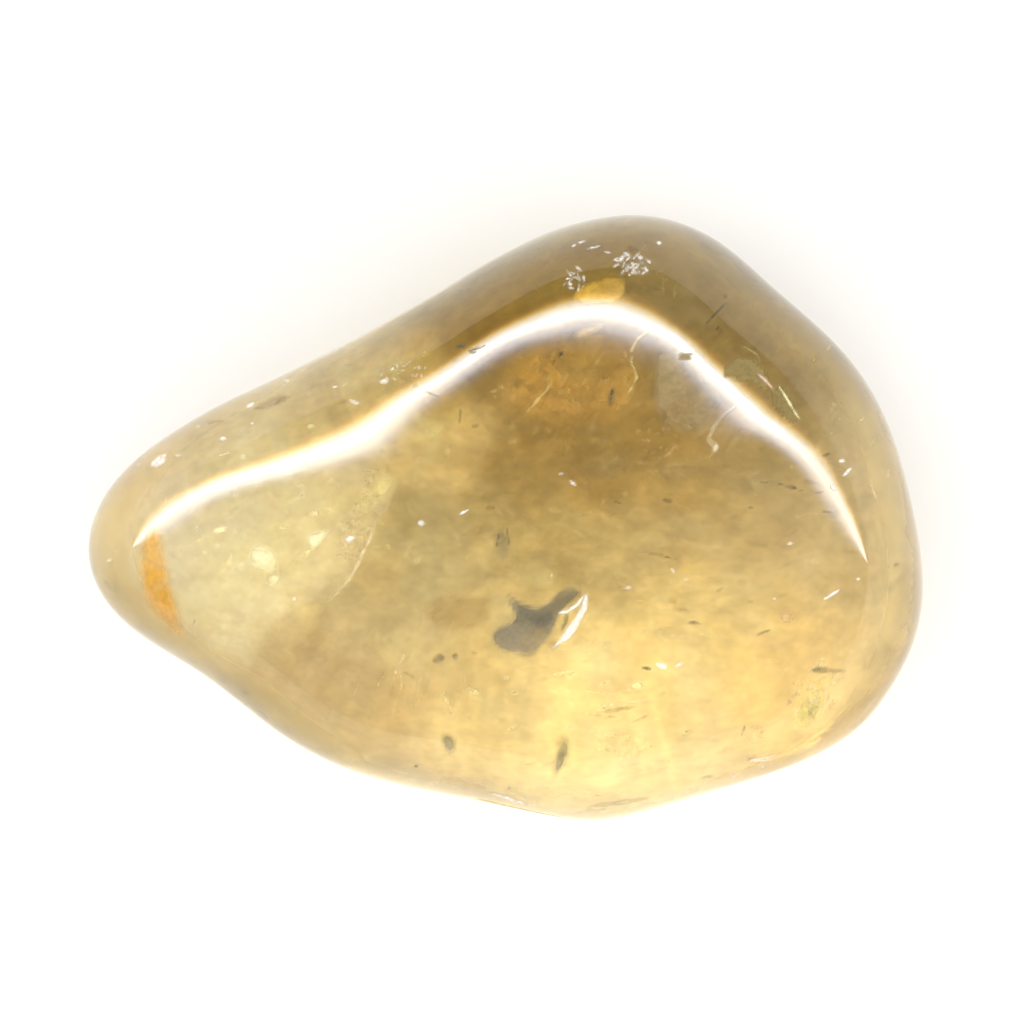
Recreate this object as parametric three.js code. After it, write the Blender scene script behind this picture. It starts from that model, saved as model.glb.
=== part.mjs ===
// A tumbled citrine: one pebble of clear yellow quartz, polished all over, lying on its broadest worn face.
// Seen from above it is a rounded triangle that narrows to a blunt tip at the left. It is fullest right of
// the middle and thins towards the tip. It grew and was worn as one piece, so it is one solid.
// Units are millimetres, +Z is up, and the origin is under the middle of the outline, on the resting face.
import * as THREE from "three";
import { mergeVertices } from "three/addons/utils/BufferGeometryUtils.js";

// The outline seen from above: a closed cubic B-spline steered by these corners, 30 mm long and 21.8 mm wide.
const OUTLINE = [
  [14.95, -0.5], [14.35, 2.0], [13.5, 4.3], [12.0, 6.4], [9.6, 8.3], [7.8, 10.1], [5.2, 11.1], [2.4, 10.7],
  [-0.4, 9.5], [-3.2, 7.75], [-6.2, 6.1], [-9.6, 4.5], [-12.6, 2.8], [-14.75, 0.8], [-15.25, -1.85],
  [-13.6, -4.1], [-10.9, -5.6], [-8.6, -7.6], [-5.6, -9.35], [-2.1, -10.0], [1.0, -10.6], [3.6, -11.1],
  [6.6, -10.1], [10.0, -9.3], [13.2, -7.75], [14.7, -5.0], [15.2, -2.8],
];
const HUB = [1.35, -0.5]; // the point in the outline that every section passes through

const GIRDLE_HEIGHT = 5.1; // where the stone is widest and its wall stands upright
const CROWN_RISE = 7.9; // from the girdle to the top at its fullest
const CROWN_PEAK_X = 4.5; // where it is fullest
const CROWN_TAPER = 0.0105; // how fast the crown drops away from there, per mm squared
const BELLY_DROP = 5.5; // from the girdle to where the underside would end if it weren't worn flat
const BELLY_PEAK_X = 3.0;
const BELLY_TAPER = 0.0062;
const FLAT_EASE = 0.16; // how softly the worn resting face runs into the curve around it

// How full the shoulder is, in even steps of azimuth from +X: 2 is an ellipse, and more is squarer.
const CROWN_FULLNESS = [
  6.0, 5.2, 3.7, 3.8, 3.9, 4.2, 5.5, 5.8, 5.4, 4.7, 4.3, 5.2,
  9.5, 7.0, 5.5, 5.0, 4.5, 4.2, 4.0, 4.0, 4.0, 4.2, 4.6, 5.2,
];
const BELLY_FULLNESS = [2.9, 2.6, 2.5, 2.7, 3.0, 3.2, 3.0, 2.7, 2.5, 2.5, 2.7, 2.9];

// Long soft waves left by the tumbling: height, wavelength along X, Y and Z, and where each starts.
const WAVES = [
  { height: 0.02, length: [9.5, -14.0, 22.0], start: 0.4 },
  { height: 0.02, length: [-17.0, 8.0, 13.0], start: 2.1 },
  { height: 0.006, length: [4.3, 5.1, -7.0], start: 4.0 },
];

// Shallow worn hollows, each around a line from one point to another: its width and its depth.
const HOLLOWS = [
  { name: "lower_groove", from: [-0.5, -10.1, 5.9], to: [1.6, -10.6, 5.6], width: 0.45, depth: 0.3 },
  { name: "heel", from: [10.5, -9.5, 3.2], to: [13.6, -6.9, 3.4], width: 2.4, depth: 0.3 },
  { name: "left_waist", from: [-10.8, -5.0, 2.4], to: [-6.8, -8.2, 2.6], width: 2.6, depth: 0.35 },
  { name: "back_waist", from: [-7.5, 5.6, 2.8], to: [-2.0, 8.6, 3.0], width: 3.0, depth: 0.35 },
];

const WEAR_FADE = 2.0; // waves and hollows fade out below this height, because the resting face stays flat

const FACE_CUTS = 17; // each face of the icosahedron is cut into (this + 1) squared triangles
const SPREAD = new THREE.Vector3(15, 10.9, 6.5); // the stone's half sizes, which keep the triangles even
const CURVE_STEPS = 24; // between two corners of the outline
const HALVINGS = 40; // of the span in which a ray leaves the body
const TURN = 2 * Math.PI;

// The cubic B-spline's mix of four neighbours at t from 0 to 1.
function mix(a, b, c, d, t) {
  const u = 1 - t;
  const fromB = 3 * t ** 3 - 6 * t ** 2 + 4;
  const fromC = -3 * t ** 3 + 3 * t ** 2 + 3 * t + 1;
  return (u ** 3 * a + fromB * b + fromC * c + t ** 3 * d) / 6;
}

// A smooth closed run through values that are spaced evenly round the full turn.
function around(values, azimuth) {
  const n = values.length;
  const place = (((azimuth / TURN) % 1) + 1) % 1 * n;
  const i = Math.floor(place);
  const near = (k) => values[(i + k + n) % n];
  return mix(near(-1), near(0), near(1), near(2), place - i);
}

// The outline as distances from the hub, in order of azimuth.
function outlineRays() {
  const n = OUTLINE.length;
  const rays = [];
  for (let i = 0; i < n; i++) {
    const corner = (k) => OUTLINE[(i + k + n) % n];
    for (let step = 0; step < CURVE_STEPS; step++) {
      const t = step / CURVE_STEPS;
      const [x, y] = [0, 1].map(
        (k) => mix(corner(-1)[k], corner(0)[k], corner(1)[k], corner(2)[k], t) - HUB[k],
      );
      rays.push({ azimuth: (Math.atan2(y, x) + TURN) % TURN, reach: Math.hypot(x, y) });
    }
  }
  return rays.sort((a, b) => a.azimuth - b.azimuth);
}

const RAYS = outlineRays();

// How far the outline is from the hub in one direction.
function reach(azimuth) {
  const a = (azimuth + TURN) % TURN;
  let after = RAYS.findIndex((ray) => ray.azimuth > a);
  if (after < 0) after = 0;
  const next = RAYS[after];
  const last = RAYS[(after + RAYS.length - 1) % RAYS.length];
  const gap = (next.azimuth - last.azimuth + TURN) % TURN;
  const t = ((a - last.azimuth + TURN) % TURN) / gap;
  return last.reach + t * (next.reach - last.reach);
}

// Heights under FLAT_EASE are laid down onto the resting plane, and all others come down by FLAT_EASE.
function worn(z) {
  if (z <= 0) return 0;
  return z < 2 * FLAT_EASE ? z ** 2 / (4 * FLAT_EASE) : z - FLAT_EASE;
}

const CENTRE = new THREE.Vector3(HUB[0], HUB[1], worn(GIRDLE_HEIGHT));

// The height of the crown or the belly at a share of the way from the hub to the outline.
function height(x, azimuth, share, isCrown) {
  const fullness = around(isCrown ? CROWN_FULLNESS : BELLY_FULLNESS, azimuth);
  const shoulder = Math.sqrt(Math.max(0, 1 - share ** fullness));
  if (isCrown) {
    const rise = CROWN_RISE - CROWN_TAPER * (x - CROWN_PEAK_X) ** 2;
    return worn(GIRDLE_HEIGHT + rise * shoulder);
  }
  const drop = BELLY_DROP - BELLY_TAPER * (x - BELLY_PEAK_X) ** 2;
  return worn(GIRDLE_HEIGHT - drop * shoulder);
}

// Where a ray from the centre leaves the smooth body, found by halving the span.
function bodyPoint(direction) {
  const azimuth = Math.atan2(direction.y, direction.x);
  const slope = direction.z / Math.max(1e-9, Math.hypot(direction.x, direction.y));
  const far = reach(azimuth);
  const isCrown = direction.z >= 0;
  const at = (share) => {
    const x = HUB[0] + Math.cos(azimuth) * far * share;
    const y = HUB[1] + Math.sin(azimuth) * far * share;
    return new THREE.Vector3(x, y, height(x, azimuth, share, isCrown));
  };
  let inner = 0;
  let outer = 1;
  for (let i = 0; i < HALVINGS; i++) {
    const share = (inner + outer) / 2;
    const rise = Math.abs(at(share).z - CENTRE.z);
    if (rise > Math.abs(slope) * far * share) inner = share;
    else outer = share;
  }
  return at((inner + outer) / 2);
}

// How far the wear pushes a point of the body out from the centre, or in if it is negative.
function wear(p) {
  let out = 0;
  for (const wave of WAVES) {
    const [lx, ly, lz] = wave.length;
    out += wave.height * Math.sin(TURN * (p.x / lx + p.y / ly + p.z / lz) + wave.start);
  }
  for (const hollow of HOLLOWS) {
    const line = new THREE.Line3(new THREE.Vector3(...hollow.from), new THREE.Vector3(...hollow.to));
    const gap = line.closestPointToPoint(p, true, new THREE.Vector3()).distanceTo(p);
    out -= hollow.depth * Math.exp(-((gap / hollow.width) ** 2));
  }
  return out * THREE.MathUtils.smoothstep(p.z, 0, WEAR_FADE);
}

function stoneGeometry() {
  const ball = new THREE.IcosahedronGeometry(1, FACE_CUTS);
  ball.deleteAttribute("normal");
  ball.deleteAttribute("uv");
  const geometry = mergeVertices(ball, 1e-5);
  const position = geometry.getAttribute("position");
  for (let i = 0; i < position.count; i++) {
    const direction = new THREE.Vector3().fromBufferAttribute(position, i).multiply(SPREAD).normalize();
    const p = bodyPoint(direction);
    p.addScaledVector(direction, wear(p));
    position.setXYZ(i, p.x, p.y, Math.max(0, p.z));
  }
  // The outline's middle comes over the origin.
  geometry.computeBoundingBox();
  const middle = geometry.boundingBox.getCenter(new THREE.Vector3());
  geometry.translate(-middle.x, -middle.y, 0);
  geometry.computeVertexNormals();
  return geometry;
}

const citrine = new THREE.MeshStandardMaterial({
  color: new THREE.Color().setRGB(0.86, 0.66, 0.3),
  roughness: 0.08,
  metalness: 0,
  transparent: true,
  opacity: 0.85,
});

const stone = new THREE.Mesh(stoneGeometry(), citrine);
stone.name = "citrine_stone";

const model = new THREE.Group();
model.add(stone);

export default model;
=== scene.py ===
# The looks of a tumbled citrine: a polished pebble of clear yellow quartz on white, seen from straight above.
# The stone's form repeats part.mjs with a finer mesh. Its glass swallows blue light, so its colour is deeper
# where light goes a long way through it, and softly edged zones of the crystal are smokier than others. Some
# zones are painted light: painted shade in the band above the bright line, and a painted glow at the lower
# right. The veils, cracks and specks inside it are thin sheets. So are a band of painted shade round the rim
# and more painted glow at the lower right. All lengths are in millimetres until they are meshed.
import math

import bmesh
import bpy
import numpy as np
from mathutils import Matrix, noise


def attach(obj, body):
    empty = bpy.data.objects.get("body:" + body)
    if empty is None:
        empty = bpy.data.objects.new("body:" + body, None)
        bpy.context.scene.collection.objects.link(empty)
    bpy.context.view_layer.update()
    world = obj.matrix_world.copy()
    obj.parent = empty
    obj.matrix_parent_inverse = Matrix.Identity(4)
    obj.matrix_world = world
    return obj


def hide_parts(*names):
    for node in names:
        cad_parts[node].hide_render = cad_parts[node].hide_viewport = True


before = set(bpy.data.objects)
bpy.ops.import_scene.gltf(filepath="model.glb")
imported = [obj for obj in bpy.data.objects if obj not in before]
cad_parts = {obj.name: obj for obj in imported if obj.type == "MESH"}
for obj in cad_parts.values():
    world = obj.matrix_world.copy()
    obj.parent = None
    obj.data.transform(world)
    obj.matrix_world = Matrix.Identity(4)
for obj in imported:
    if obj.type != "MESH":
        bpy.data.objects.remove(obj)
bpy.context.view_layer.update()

MM = 0.001
TURN = 2 * math.pi
LUMP_FALL, LUMP_STEP = 0.6, 2.0  # how fast the finer octaves of the noise fade, and how much finer each is


def fractal(points, size, stretch=(1, 1, 1), turn=0.0, octaves=4, shift=0.0):
    """Cloudy noise at each point, mostly from -1 to 1, in lumps of about this size, drawn out and turned."""
    heading = math.radians(turn)
    along = points[:, 0] * math.cos(heading) + points[:, 1] * math.sin(heading)
    across = points[:, 1] * math.cos(heading) - points[:, 0] * math.sin(heading)
    laid = np.column_stack([along, across, points[:, 2]]) / (size * np.array(stretch)) + shift
    return np.array([noise.fractal(spot, LUMP_FALL, LUMP_STEP, octaves) for spot in laid.tolist()])


def soft_step(t):
    """0 up to 0, 1 from 1 on, and an S-curve between them."""
    t = np.clip(t, 0, 1)
    return t**2 * (3 - 2 * t)


# The form, as in part.mjs.
OUTLINE = np.array([
    (14.95, -0.5), (14.35, 2.0), (13.5, 4.3), (12.0, 6.4), (9.6, 8.3), (7.8, 10.1), (5.2, 11.1), (2.4, 10.7),
    (-0.4, 9.5), (-3.2, 7.75), (-6.2, 6.1), (-9.6, 4.5), (-12.6, 2.8), (-14.75, 0.8), (-15.25, -1.85),
    (-13.6, -4.1), (-10.9, -5.6), (-8.6, -7.6), (-5.6, -9.35), (-2.1, -10.0), (1.0, -10.6), (3.6, -11.1),
    (6.6, -10.1), (10.0, -9.3), (13.2, -7.75), (14.7, -5.0), (15.2, -2.8),
])
HUB = np.array([1.35, -0.5])
GIRDLE_HEIGHT = 5.1
CROWN_RISE, CROWN_PEAK_X, CROWN_TAPER = 7.9, 4.5, 0.0105  # its height, where it peaks and how it falls away
BELLY_DROP, BELLY_PEAK_X, BELLY_TAPER = 5.5, 3.0, 0.0062
FLAT_EASE = 0.16  # how softly the belly turns into the resting face
CROWN_FULLNESS = np.array([
    6.0, 5.2, 3.7, 3.8, 3.9, 4.2, 5.5, 5.8, 5.4, 4.7, 4.3, 5.2,
    9.5, 7.0, 5.5, 5.0, 4.5, 4.2, 4.0, 4.0, 4.0, 4.2, 4.6, 5.2,
])
BELLY_FULLNESS = np.array([2.9, 2.6, 2.5, 2.7, 3.0, 3.2, 3.0, 2.7, 2.5, 2.5, 2.7, 2.9])
WAVES = [  # height, wavelength along X, Y and Z, start
    (0.02, (9.5, -14.0, 22.0), 0.4),
    (0.02, (-17.0, 8.0, 13.0), 2.1),
    (0.006, (4.3, 5.1, -7.0), 4.0),
]
HOLLOWS = [  # from, to, width, depth
    ((-0.5, -10.1, 5.9), (1.6, -10.6, 5.6), 0.45, 0.3),
    ((10.5, -9.5, 3.2), (13.6, -6.9, 3.4), 2.4, 0.3),
    ((-10.8, -5.0, 2.4), (-6.8, -8.2, 2.6), 2.6, 0.35),
    ((-7.5, 5.6, 2.8), (-2.0, 8.6, 3.0), 3.0, 0.35),
]
WEAR_FADE = 2.0  # the wear fades out over this height above the resting face
SPREAD = np.array([15.0, 10.9, 6.5])  # the half size of the ball whose rays place the mesh's corners
CURVE_STEPS = 24
HALVINGS = 40
FACE_CUTS = 79  # the visible stone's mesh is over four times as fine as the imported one
FIT = 0.9993  # and a hair smaller, because a finer mesh reaches further out
POLISH_LUMP, POLISH_RISE = 1.2, 0.0010  # the faint unevenness of the polish


def mix(a, b, c, d, t):
    """The cubic B-spline's mix of four neighbours at t from 0 to 1."""
    u = 1 - t
    return (u**3 * a + (3 * t**3 - 6 * t**2 + 4) * b + (-3 * t**3 + 3 * t**2 + 3 * t + 1) * c + t**3 * d) / 6


def around(values, azimuth):
    """A smooth closed run through values that are spaced evenly round the full turn."""
    n = len(values)
    place = (azimuth / TURN) % 1 * n
    i = np.floor(place).astype(int)
    near = [values[(i + k) % n] for k in (-1, 0, 1, 2)]
    return mix(*near, place - i)


def outline_rays():
    """The outline as azimuths and distances from the hub."""
    near = [np.roll(OUTLINE, -k, axis=0) for k in (-1, 0, 1, 2)]
    points = np.concatenate([mix(*near, step / CURVE_STEPS) - HUB for step in range(CURVE_STEPS)])
    azimuth = np.arctan2(points[:, 1], points[:, 0]) % TURN
    order = np.argsort(azimuth)
    return azimuth[order], np.hypot(points[:, 0], points[:, 1])[order]


RAYS = outline_rays()


def reach(azimuth):
    """How far the outline is from the hub in each direction."""
    return np.interp(azimuth % TURN, RAYS[0], RAYS[1], period=TURN)


def worn(z):
    """Heights laid softly down onto the resting plane."""
    return np.where(z <= 0, 0, np.where(z < 2 * FLAT_EASE, z**2 / (4 * FLAT_EASE), z - FLAT_EASE))


def height(x, azimuth, share, is_crown):
    """The height of the crown or the belly at a share of the way from the hub to the outline."""
    fullness = np.where(is_crown, around(CROWN_FULLNESS, azimuth), around(BELLY_FULLNESS, azimuth))
    shoulder = np.sqrt(np.maximum(0, 1 - share**fullness))
    rise = CROWN_RISE - CROWN_TAPER * (x - CROWN_PEAK_X) ** 2
    drop = BELLY_DROP - BELLY_TAPER * (x - BELLY_PEAK_X) ** 2
    return worn(GIRDLE_HEIGHT + np.where(is_crown, rise, -drop) * shoulder)


def body_points(directions):
    """Where rays from the centre leave the smooth body, found by halving the span."""
    azimuth = np.arctan2(directions[:, 1], directions[:, 0])
    slope = np.abs(directions[:, 2]) / np.maximum(1e-9, np.hypot(directions[:, 0], directions[:, 1]))
    far = reach(azimuth)
    is_crown = directions[:, 2] >= 0
    centre_z = float(worn(np.float64(GIRDLE_HEIGHT)))
    inner = np.zeros(len(directions))
    outer = np.ones(len(directions))
    for _ in range(HALVINGS):
        share = (inner + outer) / 2
        x = HUB[0] + np.cos(azimuth) * far * share
        short = np.abs(height(x, azimuth, share, is_crown) - centre_z) > slope * far * share
        inner = np.where(short, share, inner)
        outer = np.where(short, outer, share)
    share = (inner + outer) / 2
    x = HUB[0] + np.cos(azimuth) * far * share
    y = HUB[1] + np.sin(azimuth) * far * share
    return np.stack([x, y, height(x, azimuth, share, is_crown)], axis=1)


def beside_line(points, start, end):
    """How far each point is from the stretch between start and end, and where along it, from 0 to 1."""
    start, along = np.array(start), np.array(end) - np.array(start)
    t = np.clip((points - start) @ along / (along @ along), 0, 1)
    return np.linalg.norm(points - start - t[:, None] * along, axis=1), t


def wear(points):
    """How far the wear pushes each point out from the centre, or in if it is negative."""
    out = np.zeros(len(points))
    for rise, length, start in WAVES:
        out += rise * np.sin(TURN * (points / length).sum(axis=1) + start)
    for start, end, width, depth in HOLLOWS:
        out -= depth * np.exp(-((beside_line(points, start, end)[0] / width) ** 2))
    return out * soft_step(points[:, 2] / WEAR_FADE)


def stone_mesh():
    """The stone as one closed mesh, and where its outline's middle was before it came over the origin."""
    ball = bmesh.new()
    bmesh.ops.create_icosphere(ball, subdivisions=1, radius=1)
    bmesh.ops.subdivide_edges(ball, edges=ball.edges[:], cuts=FACE_CUTS, use_grid_fill=True)
    bmesh.ops.triangulate(ball, faces=ball.faces[:])
    mesh = bpy.data.meshes.new("citrine")
    ball.to_mesh(mesh)
    ball.free()
    co = np.zeros(len(mesh.vertices) * 3)
    mesh.vertices.foreach_get("co", co)
    directions = co.reshape(-1, 3)
    directions /= np.linalg.norm(directions, axis=1)[:, None]
    directions *= SPREAD
    directions /= np.linalg.norm(directions, axis=1)[:, None]
    points = body_points(directions)
    points += directions * (wear(points) + POLISH_RISE * fractal(points, POLISH_LUMP, octaves=2))[:, None]
    points[:, 2] = np.maximum(0, points[:, 2])
    middle = (points[:, :2].min(axis=0) + points[:, :2].max(axis=0)) / 2
    points[:, :2] -= middle
    mesh.vertices.foreach_set("co", (points * FIT * MM).ravel())
    mesh.shade_smooth()
    mesh.update()
    return mesh, middle


STONE_MESH, MIDDLE = stone_mesh()


# What lies inside is placed by where the camera above sees it, at a share of the way down through the stone.
QUARTZ_IOR = 1.544
PROBE = 0.25  # the crown's slope is measured over twice this


def skin_height(spots, is_crown):
    """The height of the crown or the belly at each spot, given in the row's frame."""
    raw = spots + MIDDLE
    offset = raw - HUB
    azimuth = np.arctan2(offset[:, 1], offset[:, 0])
    share = np.minimum(1, np.hypot(offset[:, 0], offset[:, 1]) / reach(azimuth))
    unworn = height(raw[:, 0], azimuth, share, is_crown)
    return unworn + wear(np.column_stack([raw, unworn])) if is_crown else unworn


def seen_at(spots, share):
    """The points that the camera sees at these spots, along rays that the quartz bends on their way in."""
    crown = skin_height(spots, True)
    slopes = []
    for probe in ((PROBE, 0), (0, PROBE)):
        rise = skin_height(spots + probe, True) - skin_height(spots - np.array(probe), True)
        slopes.append(rise / (2 * PROBE))
    normal = np.stack([-slopes[0], -slopes[1], np.ones(len(spots))], axis=1)
    normal /= np.linalg.norm(normal, axis=1)[:, None]
    cos_in = normal[:, 2]
    cos_bent = np.sqrt(1 - (1 - cos_in**2) / QUARTZ_IOR**2)
    ray = np.array([0, 0, -1]) / QUARTZ_IOR + (cos_in / QUARTZ_IOR - cos_bent)[:, None] * normal
    depth = share * (crown - skin_height(spots, False))
    return np.column_stack([spots, crown]) + ray * depth[:, None]


SHEET_GAP, SHEET_FADE = 0.12, 0.15  # sheets end this far inside the outline, and are whole this far on
RIPPLE_WAVES = 5
RIPPLE_LENGTHS = (0.7, 1.6)  # times the size of its lumps
RIPPLE_CALM = 3.0  # the waves' sum is divided by this


def rim_reach(azimuth):
    """How far the worn outline is from the hub in each direction."""
    far = reach(azimuth)
    ray = np.stack([np.cos(azimuth), np.sin(azimuth)], axis=1)
    edge = np.column_stack([HUB + ray * far[:, None], np.full(len(far), GIRDLE_HEIGHT)])
    return far + wear(edge)


def rim_share(spots):
    """0 for spots outside the outline, and 1 for all inside it but a thin seam."""
    x, y = (spots + MIDDLE - HUB).T
    gap = rim_reach(np.arctan2(y, x)) - np.hypot(x, y) - SHEET_GAP
    return soft_step(gap / SHEET_FADE)


def ripple(spots, size, seed):
    """Smooth random ups and downs between about -1 and 1, with lumps of about this size."""
    rng = np.random.default_rng(seed)
    total = np.zeros(len(spots))
    for _ in range(RIPPLE_WAVES):
        angle, start = rng.uniform(0, TURN, 2)
        length = size * rng.uniform(*RIPPLE_LENGTHS)
        total += np.sin(TURN * (spots @ (math.cos(angle), math.sin(angle))) / length + start)
    return total / RIPPLE_CALM


def smooth_closed(corners, steps=6):
    """A closed B-spline steered by these corners."""
    corners = np.array(corners, float)
    near = [np.roll(corners, -k, axis=0) for k in (-1, 0, 1, 2)]
    return np.stack([mix(*near, step / steps) for step in range(steps)], axis=1).reshape(-1, 2)


def beside_path(spots, path, closed):
    """How far each spot is from a path, and where along the path it is nearest, from 0 to 1."""
    starts, ends = (path, np.roll(path, -1, axis=0)) if closed else (path[:-1], path[1:])
    lengths = np.linalg.norm(ends - starts, axis=1)
    passed = np.cumsum(lengths) - lengths
    gap, place = np.full(len(spots), np.inf), np.zeros(len(spots))
    for start, end, length, before in zip(starts, ends, lengths, passed):
        here, t = beside_line(spots, start, end)
        place = np.where(here < gap, (before + t * length) / lengths.sum(), place)
        gap = np.minimum(gap, here)
    return gap, place


def is_inside(spots, path):
    """Whether each spot lies inside a closed path, by counting the sides that a ray along X crosses."""
    crossings = np.zeros(len(spots), int)
    for (x0, y0), (x1, y1) in zip(path, np.roll(path, -1, axis=0)):
        spans = (y0 > spots[:, 1]) != (y1 > spots[:, 1])
        at = x0 + (spots[:, 1] - y0) * (x1 - x0) / (y1 - y0 if y1 != y0 else 1)
        crossings += spans & (spots[:, 0] < at)
    return crossings % 2 == 1


CRUMPLE_LUMP = 1.6
SHEET_DEPTHS = (0.02, 0.9)  # a sheet that leans or crumples stays between these shares of the depth
STROKE_TAPER = 0.6
STROKE_WOBBLE, WOBBLE_LUMP = 0.25, 5.0  # how much a stroke's width varies, and over how many of its widths
STROKE_EDGE = 0.7
WISP_EDGE = 0.25  # how softly the wisps end


class Sheets:
    """Thin curved sheets inside the stone, gathered into one mesh with a tone and a cover at each point."""

    def __init__(self, cell, wisp):
        self.cell = cell
        self.wisp = wisp  # the size, stretch and turn of the wisps that a sheet breaks into
        self.points, self.faces, self.tones, self.covers = [], [], [], []
        self.count = 0

    def lay(self, path, tone, cover, share, edge, broken, seed, lean=(0, 0), crumple=0.02, fade=(0, 0)):
        """Lays a closed area, which can lean and crumple, fade to one side, and be more or less broken."""
        path = smooth_closed(path)
        spots, cuts = self.grid(path, self.cell)
        gap = beside_path(spots, path, closed=True)[0]
        inset = np.where(is_inside(spots, path), gap, -gap)
        offset = spots - path.mean(axis=0)
        down = share + offset @ np.array(lean) + crumple * ripple(spots, CRUMPLE_LUMP, seed)
        full = soft_step(inset / edge) * rim_share(spots)
        if any(fade):
            full = full * soft_step(0.5 + offset @ np.array(fade))
        points = seen_at(spots, down if share < 0 else np.clip(down, *SHEET_DEPTHS))
        self.gather(points, full, cuts, tone, cover * full * self.patches(points, broken, seed))

    def stroke(self, path, tone, cover, share, width, broken, seed, edge=None, taper=True):
        """Lays a stroke along an open path. Its half width is given, and it can taper towards both ends."""
        path = np.array(path, float)
        spots, cuts = self.grid(path, width + self.cell)
        gap, place = beside_path(spots, path, closed=False)
        wide = width * (4 * place * (1 - place)) ** STROKE_TAPER if taper else width
        inset = wide * (1 + STROKE_WOBBLE * ripple(spots, WOBBLE_LUMP * width, seed)) - gap
        full = soft_step(inset / (edge or STROKE_EDGE * width)) * rim_share(spots)
        points = seen_at(spots, np.full(len(spots), share))
        self.gather(points, full, cuts, tone, cover * full * self.patches(points, broken, seed))

    def patches(self, points, broken, seed):
        """What a sheet keeps of its cover where it is broken into wisps."""
        wisps = fractal(points, *self.wisp, octaves=5, shift=seed)
        return 1 - broken * soft_step((wisps + WISP_EDGE) / (2 * WISP_EDGE))

    def grid(self, path, margin):
        """A grid of spots over the path's box, and its numbers of squares."""
        low, high = path.min(axis=0) - margin, path.max(axis=0) + margin
        cuts = np.maximum(2, np.ceil((high - low) / self.cell).astype(int))
        xs, ys = (np.linspace(low[k], high[k], cuts[k] + 1) for k in (0, 1))
        return np.stack(np.meshgrid(xs, ys), axis=-1).reshape(-1, 2), cuts

    def gather(self, points, full, cuts, tone, cover):
        """Keeps the squares of the grid that have a corner inside, and adds them to the mesh."""
        row = cuts[0] + 1
        corner = (np.arange(cuts[1])[:, None] * row + np.arange(cuts[0])).ravel()
        squares = np.stack([corner, corner + 1, corner + row + 1, corner + row], axis=1)
        squares = squares[(full[squares] > 0).any(axis=1)]
        if not len(squares):
            return
        used, squares = np.unique(squares, return_inverse=True)
        self.points.append(points[used])
        self.faces.append(squares.reshape(-1, 4) + self.count)
        self.tones.append(np.broadcast_to(tone, (len(points), 3))[used])
        self.covers.append(cover[used])
        self.count += len(used)

    def build(self, name, material):
        """The mesh of all the sheets as one object that rides with the stone."""
        mesh = bpy.data.meshes.new(name)
        points = np.concatenate(self.points) * FIT * MM
        mesh.from_pydata(points.tolist(), [], np.concatenate(self.faces).tolist())
        paint(mesh, "tone", np.concatenate(self.tones))
        mesh.attributes.new("cover", "FLOAT", "POINT").data.foreach_set("value", np.concatenate(self.covers))
        mesh.shade_smooth()
        add_piece(name, mesh, material)


def paint(mesh, label, colours):
    """Gives every point of a mesh a colour."""
    values = np.column_stack([colours, np.ones(len(colours))])
    mesh.attributes.new(label, "FLOAT_COLOR", "POINT").data.foreach_set("color", values.ravel())


def add_piece(name, mesh, material):
    """An object that is part of the stone."""
    piece = bpy.data.objects.new(name, mesh)
    bpy.context.scene.collection.objects.link(piece)
    mesh.materials.append(material)
    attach(piece, "root")
    return piece


class Graph:
    """The nodes of one material or of the world, added in plain calls."""

    def __init__(self, owner, output):
        self.owner = owner
        owner.use_nodes = True
        self.tree = owner.node_tree
        self.tree.nodes.clear()
        self.output = self.node(output)

    def node(self, kind, inputs=None, **settings):
        """A node with its settings, and with each input set to a value or linked to another node's output."""
        node = self.tree.nodes.new(kind)
        for name, value in settings.items():
            setattr(node, name, value)
        for name, value in (inputs or {}).items():
            if isinstance(value, bpy.types.NodeSocket):
                self.tree.links.new(value, node.inputs[name])
            else:
                node.inputs[name].default_value = value
        return node

    def finish(self, **sockets):
        """Links the given sockets to the output, and gives back what the nodes belong to."""
        for name, socket in sockets.items():
            self.tree.links.new(socket, self.output.inputs[name])
        return self.owner

    def place(self):
        """The place in the stone, in millimetres."""
        spot = {0: self.node("ShaderNodeTexCoord").outputs["Object"], "Scale": 1 / MM}
        return self.node("ShaderNodeVectorMath", spot, operation="SCALE").outputs[0]

    def noise(self, place, size, rough, stretch=(1, 1, 1), turn=0.0):
        """Noise from 0 to 1, with lumps of about this size in millimetres."""
        laid = self.node("ShaderNodeMapping", {
            "Vector": place,
            "Rotation": (0, 0, math.radians(turn)),
            "Scale": tuple(1 / (size * s) for s in stretch),
        }).outputs[0]
        values = {"Vector": laid, "Scale": 1.0, "Detail": 1.0, "Roughness": rough}
        return self.node("ShaderNodeTexNoise", values).outputs[0]

    def ramp(self, value, low, high, to_low=0.0, to_high=1.0):
        """A soft step as the value goes from low to high."""
        values = {0: value, 1: low, 2: high, 3: to_low, 4: to_high}
        return self.node("ShaderNodeMapRange", values, interpolation_type="SMOOTHSTEP").outputs[0]

    def math(self, operation, a, b=0.0):
        return self.node("ShaderNodeMath", {0: a, 1: b}, operation=operation).outputs[0]

    def times(self, colour, factor):
        """A colour made brighter or darker."""
        return self.node("ShaderNodeVectorMath", {0: colour, "Scale": factor}, operation="SCALE").outputs[0]


def rgba(colour):
    """A colour of three values as Blender takes it."""
    return *colour, 1


# The colour zones of the crystal, with painted shade and a painted glow among them. A colour is what is
# left of light that goes in and out.
COLUMN = 40.0  # the height of a zone that goes right through the stone
SMOKE = (0.67, 0.615, 0.52)
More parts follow.
